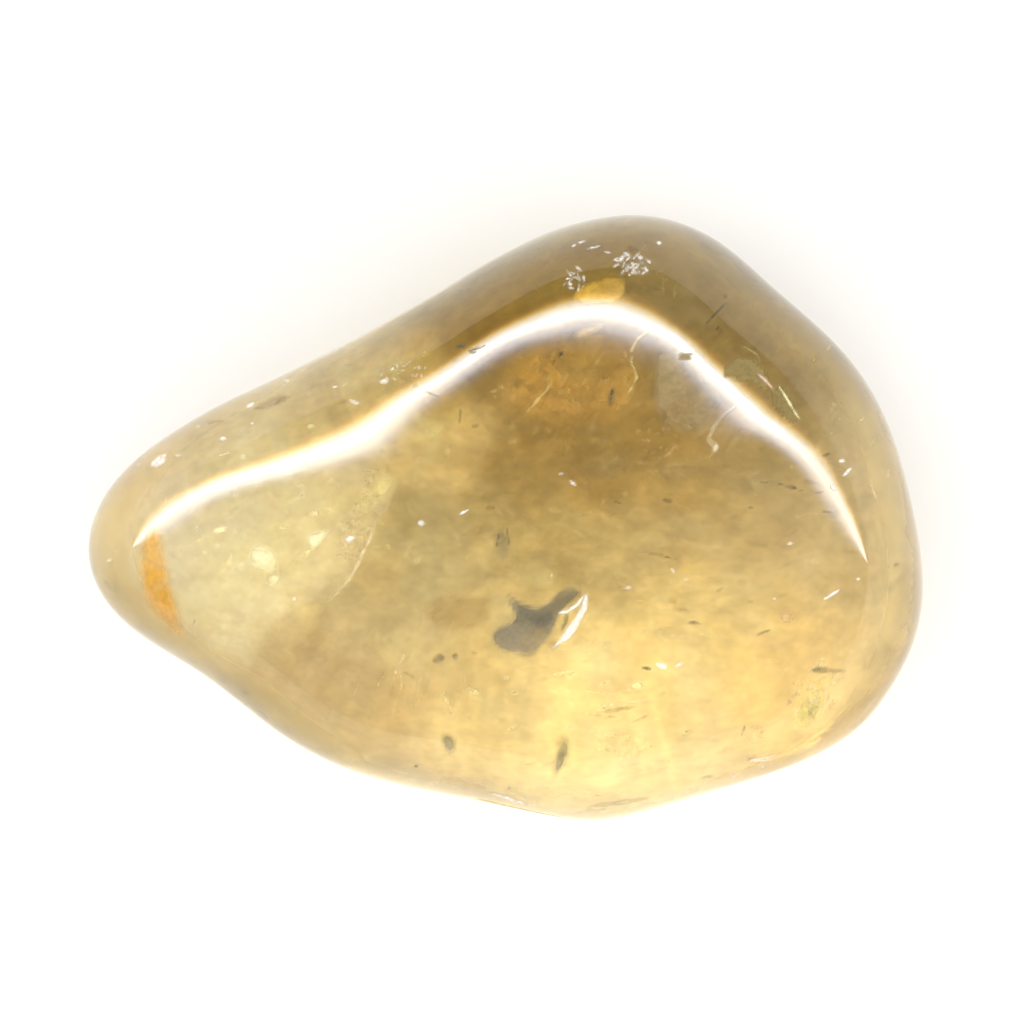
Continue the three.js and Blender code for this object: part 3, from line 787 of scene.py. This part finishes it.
# Marks by their tone and share of the depth: where each one is, its length, width, turn and cover.
MARKS = [
    (FROST, ON_SKIN, [
        (-12.4, 1.97, 0.62, 0.42, 20, 1), (-12.22, 2.11, 0.4, 0.26, 60, 1), (-13.12, 1.9, 0.18, 0.12, 0, 0.5),
        (-11.65, 2.22, 0.24, 0.12, 10, 0.7), (-10.03, 2.8, 0.26, 0.2, 0, 0.8),
        (-9.09, 4.02, 0.34, 0.2, 30, 0.9), (-8.98, 3.34, 0.18, 0.12, 0, 0.5),
        (-10.96, 3.26, 0.22, 0.12, 0, 0.5), (-5.35, 4.09, 0.42, 0.2, -20, 0.8),
        (-4.3, 4.81, 0.38, 0.22, 10, 0.9), (-6.03, 4.63, 0.22, 0.12, 0, 0.6),
        (-7.8, 4.88, 0.22, 0.16, 0, 0.7), (-5.46, -0.73, 0.42, 0.22, 25, 1), (-2.97, -0.19, 0.26, 0.26, 0, 1),
        (-1.46, 0.2, 0.44, 0.12, 25, 0.9), (1.96, 1.54, 0.2, 0.12, 0, 0.9),
        (2.36, 1.21, 0.32, 0.14, -40, 0.7), (5.88, -1.85, 0.24, 0.12, -50, 0.9),
        (6.35, -2.17, 0.2, 0.1, 0, 0.8), (4.3, -2.46, 0.26, 0.14, 20, 0.6),
        (5.49, -5.2, 0.48, 0.26, -20, 0.9), (6.1, -5.16, 0.28, 0.16, 30, 0.8),
        (5.45, 9.74, 0.2, 0.16, 0, 0.9), (2.72, 9.78, 0.34, 0.1, 20, 0.9), (2.43, 9.64, 0.2, 0.08, 15, 0.8),
        (3.11, 9.56, 0.54, 0.1, 10, 0.8), (3.62, 9.38, 0.34, 0.08, -5, 0.6),
        (11.5, -2.71, 0.76, 0.12, 31, 0.9), (12.44, -2.17, 0.18, 0.1, 0, 0.6),
        (9.45, -2.86, 0.14, 0.1, 0, 0.7), (11.86, 2, 0.26, 0.14, 0, 0.9), (12.08, 1.61, 0.44, 0.16, 40, 0.9),
        (11.57, 1.03, 0.3, 0.14, -50, 0.9), (8.15, -9.23, 0.24, 0.1, 10, 0.8),
        (9.16, -8.87, 0.14, 0.12, 0, 0.9), (0.02, -5.63, 0.16, 0.14, 0, 0.8),
        (-7.44, -2.86, 0.14, 0.1, 0, 0.7), (10.02, -0.91, 0.32, 0.1, 5, 0.8),
        (0.12, -10.02, 1.56, 0.16, -18, 0.9), (9.16, -8.54, 1.2, 0.1, 12, 0.7),
    ]),
    (BUTTER, 0.06, [
        (11.54, 6.07, 0.42, 0.18, 55, 0.9), (10.96, 5.6, 0.2, 0.12, 50, 0.8),
        (11.64, 4.02, 0.22, 0.2, 0, 0.8), (11.54, 3.8, 0.14, 0.12, 0, 0.8), (11.86, 3.48, 0.18, 0.12, 0, 0.8),
        (12.69, 3.48, 0.3, 0.12, 40, 0.8), (11.54, 2.98, 0.18, 0.12, 0, 0.6),
        (13.16, 2.76, 0.52, 0.1, 50, 0.6), (13.05, 0.96, 0.7, 0.14, -68, 0.6),
        (-10.1, -0.44, 0.6, 0.28, 10, 0.9), (-6.75, 0.13, 0.34, 0.3, 0, 0.7),
        (-7.83, -0.34, 0.3, 0.18, 0, 0.7), (-3.62, -4.94, 0.54, 0.12, 62, 0.8),
        (-3.8, -5.27, 0.5, 0.1, 66, 0.7), (-4.38, -5.7, 0.66, 0.1, 70, 0.6),
        (-3.69, -5.81, 0.6, 0.1, 85, 0.6), (4.62, -5.92, 0.46, 0.3, 0, 0.8),
        (-1.17, -6.06, 0.6, 0.24, -20, 0.7), (-2.04, -6.53, 1.1, 0.12, -70, 0.6),
        (1.6, -2.06, 0.3, 0.18, 70, 0.9), (-6.9, 3.23, 0.34, 0.22, 10, 0.8),
        (-9.99, 2.26, 0.44, 0.16, 20, 0.5), (-14.17, -1.52, 0.26, 0.18, 20, 0.7),
        (-13.88, -1.2, 0.22, 0.14, 0, 0.6), (1.96, 4.42, 0.16, 0.12, 0, 0.8),
        (5.56, 8.12, 0.9, 0.16, 82, 0.35), (5.99, 8.05, 0.8, 0.14, 84, 0.3), (3.58, 4.78, 0.14, 0.12, 0, 0.9),
        (3.51, -6.2, 1.6, 0.14, -8, 0.3), (4.84, -6.46, 1.2, 0.16, 4, 0.3), (3.04, -4.48, 2.2, 0.2, 8, 0.25),
        (13.66, 1.57, 0.44, 0.3, 80, 0.5),
    ]),
    (SLATE, 0.04, [
        (-14.71, -1.92, 0.18, 0.08, 45, 0.8), (-14.31, -2.32, 0.2, 0.07, -40, 0.9),
        (-14.17, -2.5, 0.22, 0.07, -35, 0.8), (-13.99, -2.6, 0.14, 0.06, -35, 0.6),
        (-11.07, -3.72, 0.18, 0.07, 70, 0.7), (-10.1, -5.84, 0.24, 0.07, -20, 0.8),
        (-9.34, -6.24, 0.4, 0.1, -15, 0.6), (-8.16, -1.74, 0.14, 0.1, 60, 0.5),
        (-3.19, -8.83, 0.15, 0.14, 0, 1), (0.12, -9.62, 0.16, 0.15, 0, 1), (1.56, -10.6, 0.15, 0.12, 0, 1),
        (1.42, -10.45, 0.12, 0.07, 40, 0.8), (12.69, -7.39, 0.2, 0.12, 45, 0.8),
        (1.96, 5.75, 0.26, 0.18, 50, 0.9), (1.71, 5.5, 0.18, 0.08, 60, 0.7), (-1.6, 3.59, 0.74, 0.1, 85, 0.5),
        (5.7, 0.6, 0.42, 0.2, -10, 0.55), (3.94, 0.53, 0.32, 0.12, -20, 0.6), (2.82, 0.1, 0.3, 0.08, 0, 0.5),
        (3.72, 4.24, 0.76, 0.36, 82, 0.85), (9.12, 1.25, 0.36, 0.12, -5, 0.7),
        (9.7, 1.18, 0.3, 0.1, -10, 0.7), (10.06, 1.07, 0.52, 0.18, -12, 0.8),
        (10.42, 0.96, 0.2, 0.08, 0, 0.6), (11.1, 0.89, 0.38, 0.1, 6, 0.6), (11.32, 0.2, 0.52, 0.1, -8, 0.5),
        (8.62, 0.35, 0.22, 0.16, 0, 0.45), (4.95, -5.3, 0.4, 0.2, -10, 0.85),
        (6.57, -3.68, 0.5, 0.14, 0, 0.5), (7.54, -2.53, 0.32, 0.18, 30, 0.4),
        (9.09, -4.04, 0.56, 0.18, 20, 0.6), (6.68, -3.72, 0.5, 0.16, -5, 0.4),
        (7.18, -9.23, 0.5, 0.12, 8, 0.7), (11.43, -5.41, 1.4, 0.36, -3, 0.6),
        (11.32, 2.22, 0.34, 0.16, 20, 0.8), (12.69, -7.72, 0.12, 0.1, 0, 0.6),
        (-2.36, -4.98, 0.5, 0.4, 20, 0.55), (-1.78, -4.87, 0.26, 0.36, 0, 0.55),
        (-1.1, -4.76, 0.26, 0.22, -20, 0.4), (-3.37, -5.56, 0.56, 0.12, -25, 0.4),
        (7.47, 7.26, 1.25, 0.14, 46, 0.7), (7.47, 6.68, 0.38, 0.1, 50, 0.6), (10.85, -7, 0.5, 0.1, -52, 0.6),
        (8.4, -7.54, 0.5, 0.12, 72, 0.5), (7.79, 7.84, 0.16, 0.3, 0, 0.4), (-1.06, 3.23, 0.3, 0.2, 0, 0.4),
        (-0.27, -0.8, 0.56, 0.07, 82, 0.8), (0.09, -0.66, 0.7, 0.07, 96, 0.7),
        (8.62, -2.96, 0.24, 0.14, 0, 0.35), (13.88, -1.67, 0.24, 0.14, 20, 0.7),
        (13.59, -1.74, 0.12, 0.1, 0, 0.6), (7.14, 6.9, 0.3, 0.12, 46, 0.7),
    ]),
    (BARK, 0.15, [
        (-10.32, 3.41, 0.8, 0.36, 5, 0.8), (-8.3, 4.09, 1.6, 0.4, 18, 0.8), (-0.52, 0.35, 0.4, 0.26, 0, 0.5),
        (-0.92, -0.44, 1.6, 0.4, 15, 0.25), (3.9, -6.78, 1.7, 0.22, 8, 0.5), (3.4, -7, 1.1, 0.16, -6, 0.4),
        (4.77, -7.1, 0.8, 0.14, 24, 0.4), (4.55, 8.09, 1.2, 0.7, 0, 0.3), (5.45, -1.34, 1.4, 0.12, -12, 0.7),
        (0.16, 4.16, 0.6, 0.34, 70, 0.5), (1.42, 4.24, 1.1, 0.16, 60, 0.4), (4.48, 9.49, 0.5, 0.34, 0, 0.8),
        (6.28, 1.79, 1.2, 0.22, 0, 0.4), (5.02, 2.08, 0.6, 0.26, -10, 0.5), (0.88, -8.72, 0.5, 0.1, 12, 0.3),
    ]),
    (SLATE, ON_SKIN, [
        (-1.57, 6.04, 0.36, 0.2, 8, 0.8), (-0.99, 5.96, 0.8, 0.1, 17, 0.8), (-1.14, 5.82, 0.3, 0.1, 0, 0.6),
        (-2.65, 4.38, 0.8, 0.06, -22, 0.5), (-3.15, 4.67, 0.2, 0.05, -50, 0.4),
    ]),
]


MARK_SEEDS = 100  # kept for each tone
MARK_BROKEN = 0.4


def set_marks(fine):
    """The small marks that the photo shows one by one, each a short stroke."""
    for kind, (tone, share, marks) in enumerate(MARKS):
        for seed, (x, y, length, width, turn, cover) in enumerate(marks):
            heading = math.radians(turn)
            along = np.array([math.cos(heading), math.sin(heading)]) * length / 2
            path = [(x, y) - along, (x, y) + along]
            fine.stroke(path, tone, cover, share, width / 2, MARK_BROKEN, MARK_SEEDS * kind + seed)


# Longer cracks, the bright rim of the dark leaf-shaped one first: corners, tone, cover, share of the depth,
# half width, how broken it is, and seed. Some go on with how soft the edge is and whether it tapers.
LINES = [
    ([
        (2.86, -2.6), (2.75, -3.18), (2.43, -3.76), (2.03, -4.26), (1.6, -4.66),
    ], FROST, 1.0, ON_SKIN, 0.17, 0.3, 1, 0.1),
    ([(1.78, -3.36), (2.18, -3.29), (2.54, -3.04), (2.79, -2.68)], FROST, 0.95, ON_SKIN, 0.07, 0.1, 2),
    ([(2.03, -3.68), (2.18, -3.4), (1.96, -4.04)], SLATE, 0.5, 0.1, 0.12, 0.6, 3),
    ([(5.06, 6.65), (4.62, 6.25), (4.44, 5.89)], STRAW, 0.9, 0.08, 0.07, 0.2, 4, None, False),
    ([(4.44, 5.89), (4.44, 5.46), (4.62, 4.96), (4.26, 4.24)], BUTTER, 0.6, 0.1, 0.07, 0.5, 5),
    ([(1.71, 4.96), (1.42, 4.45), (1.02, 4.02), (0.7, 3.66)], STRAW, 0.85, 0.1, 0.08, 0.3, 6),
    ([(9.59, 4.74), (9.95, 4.16), (10.2, 3.73), (10.46, 3.37)], BUTTER, 0.9, ON_SKIN, 0.05, 0.1, 7),
    # A painted highlight: the bright line's warm fringe on the skin beside the notch.
    ([(8.87, 5.1), (9.16, 4.85), (9.45, 4.52)], (1.0, 0.72, 0.55), 0.8, ON_SKIN, 0.07, 0.4, 7),
    ([(8.15, 5.96), (8.44, 6.04), (8.87, 5.78), (9.05, 5.46)], OLIVE, 0.8, ON_SKIN, 0.04, 0.4, 7),
    ([(8.19, 4.02), (7.72, 3.66), (7.36, 3.26), (7.14, 2.72), (7.36, 2.44)], MILK, 0.7, 0.12, 0.1, 0.5, 8),
    ([(8.01, 3.88), (7.65, 3.48)], SLATE, 0.5, 0.1, 0.05, 0.6, 9),
    ([(7.07, 2.8), (7.43, 2.54), (7.29, 2.22)], MILK, 0.9, 0.1, 0.16, 0.6, 10),
    ([
        (-4.56, -0.08), (-4.84, -0.8), (-5.2, -1.52), (-5.6, -2.28), (-6.39, -3.04),
    ], MILK, 0.55, 0.4, 0.1, 0.4, 11),
    ([(-6.46, -0.66), (-7.18, -1.38), (-7.76, -1.81)], BUTTER, 0.5, 0.35, 0.12, 0.5, 12),
    ([(8.58, -8.54), (9.09, -8.65), (9.59, -8.58)], FROST, 0.7, ON_SKIN, 0.04, 0.2, 13),
    ([(3, -10.27), (4.12, -10.16), (5.2, -9.98)], BUTTER, 0.8, 0.1, 0.1, 0.4, 14),
    ([(-0.2, -10.38), (0.52, -10.6), (1.42, -10.74)], (0.45, 0.42, 0.33), 0.6, 0.02, 0.12, 0.3, 15),
]
RINGS = ((0.18, 0.8), (0.108, 0.25))  # radius and cover
RING_MIDDLE, RING_STEPS = (9.92, -3.5), 16


def draw_lines(fine):
    """The longer cracks, and a small double ring."""
    for line in LINES:
        fine.stroke(*line)
    turns = np.linspace(0, TURN, RING_STEPS + 1)
    for radius, cover in RINGS:
        ring = RING_MIDDLE + radius * np.stack([np.cos(turns), np.sin(turns)], axis=1)
        fine.stroke(ring, ROSE, cover, 0.03, 0.035, 0.2, 16, taper=False)


# Small flaws by the group: count, centre, radii, length, width, turn, how much it varies, tone and cover.
FLAWS = [
    (50, (9.4, 4.9), (3.6, 2.8), (0.4, 1.4), (0.05, 0.12), 52, 12, BUTTER, (0.06, 0.25)),
    (26, (9.4, 4.9), (3.6, 2.8), (0.2, 0.8), (0.08, 0.22), 52, 20, BARK, (0.08, 0.28)),
    (40, (2.4, 4.4), (2.8, 2.0), (0.2, 1.0), (0.08, 0.2), 62, 25, STRAW, (0.1, 0.3)),
    (50, (2.4, 4.4), (2.8, 2.0), (0.1, 0.5), (0.08, 0.25), 60, 50, BARK, (0.1, 0.45)),
    (70, (6.5, 0.2), (7.0, 3.6), (0.3, 1.4), (0.06, 0.2), -6, 14, BARK, (0.08, 0.32)),
    (40, (6.5, 0.2), (7.0, 3.6), (0.3, 1.2), (0.06, 0.2), -6, 18, STRAW, (0.08, 0.25)),
    (36, (5.9, 2.4), (3.0, 1.1), (0.1, 0.5), (0.05, 0.14), 20, 60, ROSE, (0.1, 0.4)),
    (50, (5.0, -6.3), (7.0, 2.8), (0.3, 1.4), (0.1, 0.3), 6, 16, BUTTER, (0.1, 0.45)),
    (40, (5.0, -6.3), (7.0, 2.8), (0.2, 1.0), (0.08, 0.25), 4, 22, HONEY, (0.08, 0.35)),
    (20, (-4.0, -5.4), (3.0, 2.0), (0.4, 1.6), (0.06, 0.14), 72, 10, STRAW, (0.08, 0.22)),
    (60, (-8.8, 0.2), (4.4, 2.0), (0.1, 0.6), (0.05, 0.18), 30, 60, MILK, (0.1, 0.5)),
    (36, (-8.8, -0.8), (4.2, 2.2), (0.2, 1.0), (0.06, 0.2), 15, 50, STRAW, (0.1, 0.4)),
    (16, (-8.8, -0.8), (4.2, 2.2), (0.1, 0.6), (0.05, 0.12), 15, 60, BARK, (0.1, 0.4)),
    (60, (-4.0, 5.0), (7.0, 1.0), (0.08, 0.4), (0.04, 0.14), 30, 60, ROSE, (0.15, 0.6)),
    (30, (-5.0, 4.6), (6.0, 1.0), (0.4, 1.4), (0.1, 0.3), 27, 12, BARK, (0.08, 0.28)),
    (50, (2.8, 8.7), (3.2, 1.2), (0.08, 0.5), (0.04, 0.14), 15, 50, ROSE, (0.12, 0.55)),
    (50, (-1.0, 0.4), (4.8, 3.0), (0.1, 0.8), (0.06, 0.2), 20, 50, STRAW, (0.08, 0.3)),
    (34, (-1.0, 0.4), (4.8, 3.0), (0.2, 1.0), (0.08, 0.25), 15, 40, BARK, (0.08, 0.28)),
    (50, (4.45, 8.95), (0.62, 0.42), (0.08, 0.36), (0.03, 0.09), 20, 70, FROST, (0.5, 1.0)),
    (26, (2.45, 8.4), (0.4, 0.42), (0.08, 0.36), (0.03, 0.08), -50, 40, FROST, (0.5, 1.0)),
    (24, (-3.6, 5.1), (0.9, 0.5), (0.05, 0.2), (0.03, 0.07), 30, 70, FROST, (0.4, 0.9)),
    (14, (5.4, 2.7), (0.9, 0.5), (0.08, 0.3), (0.04, 0.09), 30, 60, ROSE, (0.3, 0.7)),
    (30, (11.0, -6.1), (0.8, 0.9), (0.2, 0.7), (0.05, 0.16), 55, 25, SUN, (0.5, 1.0)),
    (60, (0.0, -0.5), (12.5, 7.5), (0.6, 2.2), (0.25, 0.7), 12, 25, STRAW, (0.05, 0.18)),
    (60, (0.0, -0.5), (12.5, 7.5), (0.6, 2.2), (0.25, 0.7), 12, 25, BARK, (0.05, 0.15)),
]
FLAW_SEED, FLAW_SEEDS = 7, 1000  # of the whole scatter, and how many there are for a single flaw
FLAW_BOW = 0.15  # times half its length
FLAW_DEPTHS = (0.02, 0.3)
FLAW_EDGE = 1.3  # times its half width
FLAW_BROKEN = 0.6


def scatter_flaws(fine):
    """Many small cracks and dashes, each a short bent stroke, in groups that share a direction."""
    rng = np.random.default_rng(FLAW_SEED)
    for count, centre, radii, length, width, turn, spread, tone, cover in FLAWS:
        for _ in range(count):
            angle, far = rng.uniform(0, TURN), math.sqrt(rng.uniform())
            middle = np.array(centre) + far * np.array(radii) * (math.cos(angle), math.sin(angle))
            heading = math.radians(rng.normal(turn, spread))
            along = np.array([math.cos(heading), math.sin(heading)]) * rng.uniform(*length) / 2
            bow = np.array([-along[1], along[0]]) * rng.uniform(-FLAW_BOW, FLAW_BOW)
            share = ON_SKIN if tone is FROST else rng.uniform(*FLAW_DEPTHS)
            wide = rng.uniform(*width)
            path = [middle - along, middle + bow, middle + along]
            edge = wide if tone is FROST else FLAW_EDGE * wide
            cover_here, seed = rng.uniform(*cover), int(rng.integers(FLAW_SEEDS))
            fine.stroke(path, tone, cover_here, share, wide, FLAW_BROKEN, seed, edge)


lay_veils_and_painted_light()
streaks = Sheets(cell=0.05, wisp=(0.35, (1.5, 1, 1), 35))
set_marks(streaks)
draw_lines(streaks)
scatter_flaws(streaks)
streaks.build("streaks", sheet_material("streak", 0.1))

# The stage.
FLOOR_HALF = 1500.0
FLOOR_DROP = 0.03  # the floor lies a hair under the resting face, so that the two faces don't coincide

floor_sheet = bmesh.new()
bmesh.ops.create_grid(floor_sheet, x_segments=1, y_segments=1, size=FLOOR_HALF * MM)
floor_data = bpy.data.meshes.new("floor")
floor_sheet.to_mesh(floor_data)
floor_sheet.free()
floor = bpy.data.objects.new("floor", floor_data)
bpy.context.scene.collection.objects.link(floor)
floor.location.z = -FLOOR_DROP * MM
floor.data.materials.append(floor_material())

# The light: a white room, and a long thin lamp along X, far off towards +Y and up, that shines into the
# stone. Its mirror image is the bright line along the shoulder. The room adds the line's soft coloured
# edges, which narrow towards one end.
ROOM_BRIGHTNESS = 1.28
ROOM_IN_MIRROR = (0.36, 0.2)  # the share of it that mirror images of its walls and of its ceiling show
MIRROR_HORIZON = 0.7  # the ceiling begins this high in the world, where straight up is 1
LAMP_BRIGHTNESS = 22.0
LAMP_TILT = 45.0  # from straight up
LAMP_HALF_WIDTH = 9.0  # of its bright core, in degrees, as seen from the stone
LAMP_NARROWS = (0.2, 0.75, 1.0, 0.52)  # from here to here along it, from this to that share of its width
LAMP_WIDENS = (0.6, 2.2, 0.0, 0.6)  # what its share of width gains in the same way towards both ends
LAMP_FADES = (0.2, 2.2, 1.0, 0.6)  # its share of brightness in the same way towards both ends
# Across the lamp in half widths, and the colour there: cool at the inner edge and warm at the outer one.
LAMP_PROFILE = [
    (-3.10, (0, 0, 0)),
    (-2.60, (0.05, 0.06, 0.09)),
    (-2.15, (0.17, 0.20, 0.28)),
    (-1.80, (0.35, 0.39, 0.48)),
    (-1.30, (0.55, 0.57, 0.62)),
    (-0.90, (0.74, 0.74, 0.76)),
    (-0.55, (1, 1, 1)),
    (0.55, (1, 1, 1)),
    (0.90, (0.74, 0.73, 0.71)),
    (1.35, (0.62, 0.58, 0.50)),
    (1.80, (0.48, 0.39, 0.23)),
    (2.15, (0.32, 0.20, 0.06)),
    (2.60, (0.10, 0.04, 0.01)),
    (3.10, (0, 0, 0)),
]
PROFILE_REACH = 3.2
LAMP_LIGHT = 73.0  # the brightness of the lamp itself
LAMP_FAR = 400.0
LAMP_MIDDLE = -100.0  # along X
LAMP_LENGTH = 1000.0
LAMP_WIDTH = 25.0


def light_room():
    """An even white room. Mirror images show it dimmed, as if it were far off, and the lamp."""
    graph = Graph(bpy.data.worlds.new("room"), "ShaderNodeOutputWorld")
    path = graph.node("ShaderNodeLightPath").outputs
    through = graph.math("SUBTRACT", 1.0, path["Is Transmission Ray"])
    mirrored = graph.math("MULTIPLY", path["Is Glossy Ray"], through)
    direction = graph.node("ShaderNodeTexCoord").outputs["Generated"]
    x, y, z = graph.node("ShaderNodeSeparateXYZ", {0: direction}).outputs
    walls, ceiling = (ROOM_BRIGHTNESS * share for share in ROOM_IN_MIRROR)
    dimmed = graph.ramp(z, 0.0, MIRROR_HORIZON, walls, ceiling)
    squares = graph.math("ADD", graph.math("MULTIPLY", y, y), graph.math("MULTIPLY", z, z))
    off_axis = graph.math("SQRT", squares)
    along = graph.math("DIVIDE", x, off_axis)
    off_middle = graph.math("ABSOLUTE", along)
    width = graph.math("ADD", graph.ramp(along, *LAMP_NARROWS), graph.ramp(off_middle, *LAMP_WIDENS))
    strength = graph.math("MULTIPLY", graph.ramp(off_middle, *LAMP_FADES), LAMP_BRIGHTNESS)
    tilt = graph.math("SUBTRACT", graph.math("ARCTAN2", y, z), math.radians(LAMP_TILT))
    across = graph.math("DIVIDE", tilt, graph.math("MULTIPLY", width, math.radians(LAMP_HALF_WIDTH)))
    profile = graph.node("ShaderNodeValToRGB", {0: graph.ramp(across, -PROFILE_REACH, PROFILE_REACH)})
    stops = profile.color_ramp.elements
    stops.remove(stops[1])
    for k, (place, colour) in enumerate(LAMP_PROFILE):
        share = (place / PROFILE_REACH + 1) / 2
        stop = stops.new(share) if k else stops[0]
        stop.position = share
        stop.color = rgba(colour)
    lamp = graph.times(profile.outputs["Color"], strength)
    seen = graph.node("ShaderNodeVectorMath", {0: lamp, 1: dimmed}, operation="ADD")
    room = graph.node("ShaderNodeMix", {
        "Factor": mirrored,
        "A": (ROOM_BRIGHTNESS, ROOM_BRIGHTNESS, ROOM_BRIGHTNESS),
        "B": seen.outputs[0],
    }, data_type="VECTOR")
    background = graph.node("ShaderNodeBackground", {"Color": room.outputs["Result"], "Strength": 1.0})
    return graph.finish(Surface=background.outputs[0])


bpy.context.scene.world = light_room()

lamp_light = bpy.data.lights.new("lamp", "AREA")
lamp_light.shape = "RECTANGLE"
lamp_light.size = LAMP_LENGTH * MM
lamp_light.size_y = LAMP_WIDTH * MM
lamp_light.energy = LAMP_LIGHT * math.pi * lamp_light.size * lamp_light.size_y
lamp = bpy.data.objects.new("lamp", lamp_light)
bpy.context.scene.collection.objects.link(lamp)
lamp_tilt = math.radians(LAMP_TILT)
lamp.location = (
    LAMP_MIDDLE * MM,
    LAMP_FAR * MM * math.sin(lamp_tilt),
    LAMP_FAR * MM * math.cos(lamp_tilt),
)
lamp.rotation_euler = (-lamp_tilt, 0, 0)
lamp.visible_camera = False
lamp.visible_diffuse = False
lamp.visible_transmission = False

# The camera looks straight down, with the photo's framing.
LENS = 300.0
SENSOR = 36.0
FRAME_WIDTH = 36.86
AIM = (0.23, 0.20)
AIM_HEIGHT = 5.0

camera_data = bpy.data.cameras.new("camera")
camera_data.lens = LENS
camera_data.sensor_width = SENSOR
camera_data.clip_start = 0.01
camera_data.clip_end = 20
camera = bpy.data.objects.new("camera", camera_data)
bpy.context.scene.collection.objects.link(camera)
camera.location = (AIM[0] * MM, AIM[1] * MM, (AIM_HEIGHT + FRAME_WIDTH * LENS / SENSOR) * MM)
bpy.context.scene.camera = camera

scene = bpy.context.scene
scene.view_settings.view_transform = "Standard"
scene.cycles.max_bounces = 14
scene.cycles.transmission_bounces = 14
scene.cycles.glossy_bounces = 6
scene.cycles.diffuse_bounces = 4
scene.cycles.transparent_max_bounces = 24
